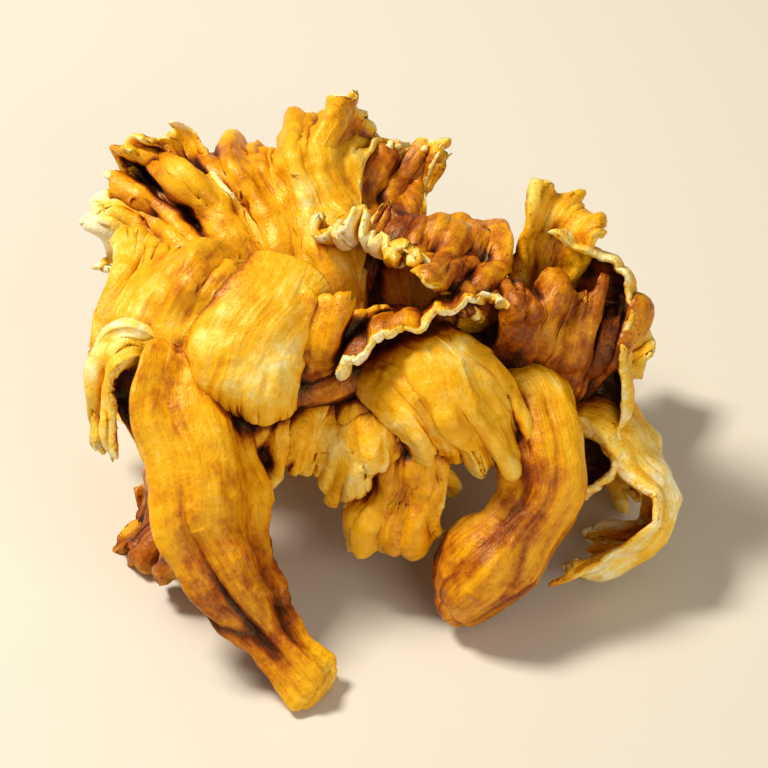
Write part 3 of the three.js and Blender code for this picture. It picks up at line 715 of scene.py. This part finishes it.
# Back fronds and the low frill at the left. They droop behind the core down to the surface, and the
# piece lies on their margins and on the end of the stem.
back_fronds = {
    "low_frill": dict(
        path=((-9.6, 11.0, 8.6), (-12.6, 12.6, 8.6), (-14.6, 11.8, 4.2), (-13.2, 10.8, -1.0)),
        facing=((-0.5, -0.1, 0.85), (-0.95, -0.2, 0.2)), root=1.6, spread=20, flare=0.0, skew=0.0,
        cup=-50, ruffle=0.8, waves=2.0, fold=0.25, folds=2.4, lobes=4, notch=0.14, lip=70,
        lip_at=0.72, seed=53, crumple=1.4, frill=1.8, wrinkle=1.0,
        patchy=0.0, tones=(0.62, 0.66), under=(0.5, 0.5), edge=0.55, grid=(75, 85),
    ),
    "back_left": dict(
        path=((-6.0, 15.5, 9.0), (-7.4, 20.5, 12.4), (-10.4, 24.4, 7.6), (-10.4, 23.0, -1.4)),
        facing=((-0.2, -0.3, 0.9), (-0.45, 0.9, 0.1)), root=2.6, spread=22, flare=0.05, skew=0.08,
        cup=-45, ruffle=1.1, waves=2.2, fold=0.35, folds=3, lobes=4, notch=0.12, lip=95,
        lip_at=0.7, seed=59, crumple=1.4, frill=1.7, wrinkle=1.0,
        patchy=0.12, tones=(0.46, 0.4), under=(0.3, 0.16), edge=0.1, grid=(108, 108),
    ),
    "back_middle": dict(
        path=((0.0, 17.5, 9.0), (0.0, 22.6, 13.0), (-0.6, 27.6, 9.0), (-0.6, 25.6, 0.8)),
        facing=((0.0, 0.3, 0.95), (0.0, 0.98, 0.1)), root=2.4, spread=20, flare=0.0, skew=-0.05,
        cup=-45, ruffle=1.1, waves=2.2, fold=0.35, folds=3, lobes=4, notch=0.12, lip=80,
        lip_at=0.72, seed=61, crumple=1.4, frill=1.7, wrinkle=1.0,
        patchy=0.12, tones=(0.54, 0.56), under=(0.3, 0.16), edge=0.1, grid=(108, 108),
    ),
    "back_right": dict(
        path=((6.0, 17.5, 9.0), (7.4, 21.6, 12.6), (9.6, 25.2, 10.0), (8.6, 25.0, 2.0)),
        facing=((0.1, 0.2, 0.95), (0.6, 0.8, 0.2)), root=2.2, spread=20, flare=0.0, skew=0.0,
        cup=-45, ruffle=1.0, waves=2.2, fold=0.35, folds=3, lobes=4, notch=0.08, lip=90,
        lip_at=0.72, seed=67, crumple=1.4, frill=1.7, wrinkle=1.0,
        patchy=0.12, tones=(0.44, 0.38), under=(0.3, 0.16), edge=0.1, grid=(98, 108),
    ),
    "back_foot": dict(
        path=((5.5, 16.0, 7.6), (9.4, 18.4, 9.0), (12.6, 19.0, 5.0), (11.2, 18.4, -0.8)),
        facing=((0.2, 0.3, 0.9), (0.85, 0.5, 0.1)), root=1.8, spread=18, flare=0.0, skew=0.0,
        cup=-60, ruffle=0.7, waves=1.8, fold=0.3, folds=3, lobes=3, notch=0.12, lip=60,
        lip_at=0.72, seed=71, crumple=1.4, frill=1.7, wrinkle=1.0,
        patchy=0.0, tones=(0.48, 0.46), under=(0.3, 0.22), edge=0.2, grid=(80, 80),
    ),
}
back_group = frond_group("back_fronds", back_fronds, gold_frond)

# Painted shade in the folds. Where fronds crowd together the tone is darkened as shade, and the
# narrow clefts between them are darkest. How much flesh surrounds a place is counted in small
# cubes, spread out widely and narrowly, and read a little way off each face.
cube = 0.5 * mm
folds_painted_shade = dict(reach=3, off_face=1.1 * mm, open_below=0.38, full_after=0.32, darker=0.42)
clefts_painted_shade = dict(reach=1, off_face=0.6 * mm, open_below=0.5, full_after=0.35, darker=0.25)
pieces = [stem, hood_group, cap_group, middle_group, right_group, crown_group, back_group]


def vertex_values(piece, kind, width):
    """The coordinates or normals of a piece, or the values of its tone, as one array."""
    values = np.zeros(len(piece.data.vertices) * width, np.float32)
    source = piece.data.attributes["tone"].data if kind == "value" else piece.data.vertices
    source.foreach_get(kind, values)
    return values.reshape(-1, width)


def spread_out(counts, reach):
    """The counts in the cubes, averaged over reach cubes either way along each axis."""
    for axis in range(3):
        shifted = [np.roll(counts, shift, axis) for shift in range(-reach, reach + 1)]
        counts = np.mean(shifted, axis=0)
    return counts


def crowding(points, counts):
    """How much flesh is round each point, eased between the eight cubes nearest to it."""
    place = np.clip((points - corner) / cube - 0.5, 0, cubes - 2)
    low = np.floor(place).astype(int)
    part = place - low
    total = np.zeros(len(points))
    for step in np.ndindex(2, 2, 2):
        share = np.prod(np.where(np.array(step) == 1, part, 1 - part), axis=-1)
        total += share * counts[tuple((low + step).T)]
    return total


skin_points = np.concatenate([vertex_values(piece, "co", 3) for piece in pieces])
corner = skin_points.min(axis=0) - 8 * cube
cubes = np.ceil(np.ptp(skin_points, axis=0) / cube).astype(int) + 16
filled = np.zeros(cubes)
filled[tuple(((skin_points - corner) / cube).astype(int).T)] = 1.0
for look in (folds_painted_shade, clefts_painted_shade):
    counts = spread_out(filled, look["reach"])
    for piece in pieces:
        skin = vertex_values(piece, "co", 3)
        outward = vertex_values(piece, "normal", 3)
        flesh_round = crowding(skin + look["off_face"] * outward, counts)
        # Painted shade: the tone is darkened where much flesh crowds round the place.
        painted_shade = ease((flesh_round - look["open_below"]) / look["full_after"])
        tone = vertex_values(piece, "value", 1)[:, 0] + look["darker"] * painted_shade
        piece.data.attributes["tone"].data.foreach_set("value", tone.astype(np.float32))

# A plain pale floor, soft studio light from above and behind on the left with a weak fill from the
# front, and the camera, which looks down at the piece as the one that took its likeness did.
floor_mesh = bpy.data.meshes.new("floor")
floor_mesh.from_pydata([(-2, -2, 0), (2, -2, 0), (2, 2, 0), (-2, 2, 0)], [], [(0, 1, 2, 3)])
floor = bpy.data.objects.new("floor", floor_mesh)
bpy.context.scene.collection.objects.link(floor)
floor_paint = bpy.data.materials.new("floor_paint")
floor_paint.use_nodes = True
floor_paint.node_tree.nodes["Principled BSDF"].inputs["Base Color"].default_value = linear("DDD6CA")
floor_paint.node_tree.nodes["Principled BSDF"].inputs["Roughness"].default_value = 0.85
floor_mesh.materials.append(floor_paint)

world = bpy.data.worlds.new("studio")
world.use_nodes = True
world.node_tree.nodes["Background"].inputs["Color"].default_value = (1.0, 0.95, 0.85, 1.0)
world.node_tree.nodes["Background"].inputs["Strength"].default_value = 0.24
bpy.context.scene.world = world


def soft_light(name, place, size, watts, tint):
    """A square lamp at place that faces the middle of the piece."""
    lamp = bpy.data.lights.new(name, "AREA")
    lamp.shape = "SQUARE"
    lamp.size = size
    lamp.energy = watts
    lamp.color = tint
    holder = bpy.data.objects.new(name, lamp)
    bpy.context.scene.collection.objects.link(holder)
    holder.location = place
    aim = target - holder.location
    holder.rotation_euler = aim.to_track_quat("-Z", "Y").to_euler()


box_low, box_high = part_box("dried_maitake")
target = (box_low + box_high) / 2
soft_light("key", (-0.11, 0.04, 0.19), 0.055, 0.56, (1.0, 0.95, 0.83))
soft_light("front_fill", (0.12, -0.2, 0.12), 0.14, 0.25, (1.0, 0.94, 0.8))

elevation = math.radians(41)
distance = 0.391
lens_data = bpy.data.cameras.new("camera")
lens_data.lens = 330
lens_data.sensor_width = 36
lens_data.clip_start = 0.01
lens_data.clip_end = 10
camera = bpy.data.objects.new("camera", lens_data)
bpy.context.scene.collection.objects.link(camera)
back = type(target)((0, -math.cos(elevation), math.sin(elevation)))
camera.location = target + back * distance
camera.rotation_euler = (-back).to_track_quat("-Z", "Y").to_euler()
bpy.context.scene.camera = camera
bpy.context.scene.view_settings.view_transform = "Standard"
